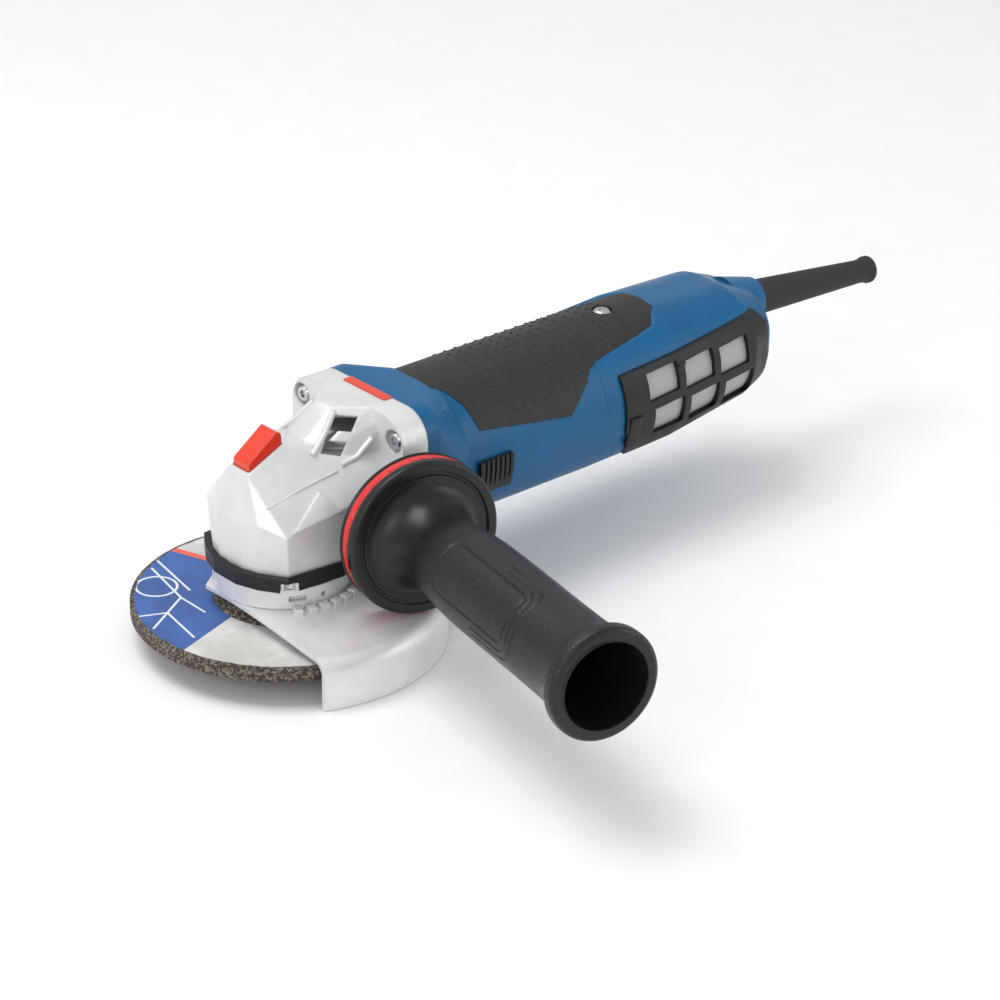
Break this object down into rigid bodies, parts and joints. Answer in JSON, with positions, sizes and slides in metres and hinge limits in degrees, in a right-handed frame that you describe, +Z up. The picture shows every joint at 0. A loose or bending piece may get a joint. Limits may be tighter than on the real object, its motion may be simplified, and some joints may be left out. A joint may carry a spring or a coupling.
{
  "type": "angle grinder",
  "caption": "Angle grinder with a gear head, filtered tail, swivelling disc guard, grinding disc and a side handle with a flared end.",
  "frame": {"origin": "centre of the spindle's lower end face", "axes": "+Z up the spindle, +X back along the motor body, -Y toward the side handle"},
  "size_m": [0.4076, 0.2616, 0.0971],
  "materials": {
    "silver_casting": "satin",
    "guard_sheet": "satin",
    "steel": "brushed",
    "dark_steel": "blackened",
    "bearing_steel": "ground",
    "core_steel": "laminated",
    "copper": "enamelled",
    "brass": "plain",
    "carbon": "matte",
    "blue_plastic": "fine textured",
    "black_plastic": "fine textured",
    "soft_grey": "textured",
    "black_rubber": "matte",
    "red_rubber": "satin",
    "red_plastic": "gloss",
    "abrasive": "coarse grit",
    "mesh_steel": "woven"
  },
  "bodies": {
    "body": {"gear_housing": "silver_casting", "bearing_flange": "silver_casting", "lower_bearing": "bearing_steel", "bearing_retainer": "steel", "upper_bearing": "bearing_steel", "trim_ring": "black_plastic", "flange_screws": "steel", "accent_strip": "red_plastic", "head_screws": "steel", "lock_spring": "steel", "motor_housing": "blue_plastic", "front_pad": "soft_grey", "stator_core": "core_steel", "field_coils": "copper", "air_baffle": "black_plastic", "front_bearing": "bearing_steel", "rear_bearing": "bearing_steel", "bearing_sleeve": "black_rubber", "brush_holders": "brass", "carbon_brushes": "carbon", "tail_cover": "blue_plastic", "rear_pad": "soft_grey", "tail_screw": "steel", "filter_panel_near": "black_plastic", "filter_panel_far": "black_plastic", "filter_mesh": "mesh_steel", "mains_switch": "black_plastic", "control_module": "black_plastic", "cord_sleeve": "black_rubber", "cord_clamp": "black_plastic", "clamp_screws": "steel", "handle_plate": "black_plastic", "damper_ring": "red_rubber", "handle_flange": "black_plastic", "handle_grip": "black_rubber", "handle_stud": "steel"},
    "spindle_group": {"spindle": "steel", "bevel_wheel": "steel", "backing_flange": "dark_steel", "grinding_disc": "abrasive", "clamping_nut": "dark_steel"},
    "armature": {"armature_shaft": "steel", "armature_core": "core_steel", "armature_windings": "copper", "commutator": "copper", "cooling_fan": "black_plastic", "pinion": "steel", "pinion_nut": "steel"},
    "lock": {"lock_button": "red_plastic", "lock_pin": "steel"},
    "guard": {"guard_dish": "guard_sheet", "guard_collar": "guard_sheet"},
    "latch": {"guard_latch": "steel"},
    "switch": {"slide_button": "black_plastic", "switch_rod": "black_plastic"}
  },
  "joints": [
    {"name": "spindle_spin", "type": "hinge", "parent": "body", "child": "spindle_group", "pos_m": [0, 0, 0], "axis": [0, 0, 1], "continuous": true},
    {"name": "armature_spin", "type": "hinge", "parent": "body", "child": "armature", "pos_m": [0, 0, 0.0551], "axis": [1, 0, 0], "continuous": true},
    {"name": "lock_press", "type": "slide", "parent": "body", "child": "lock", "axis": [0, 0, -1], "range_m": [0, 0.004], "stiffness_N_per_m": 400, "deforming": ["lock_spring"]},
    {"name": "guard_swivel", "type": "hinge", "parent": "body", "child": "guard", "pos_m": [0, 0, 0], "axis": [0, 0, 1], "range_deg": [-120, 120]},
    {"name": "latch_push", "type": "slide", "parent": "body", "child": "latch", "axis": [0.5446, 0.8387, 0], "range_m": [0, 0.0015], "stiffness_N_per_m": 600},
    {"name": "switch_slide", "type": "slide", "parent": "body", "child": "switch", "axis": [-1, 0, 0], "range_m": [0, 0.0045]}
  ],
  "couplings": [
    {"joint": "armature_spin", "follows": "spindle_spin", "ratio": 3.5}
  ]
}
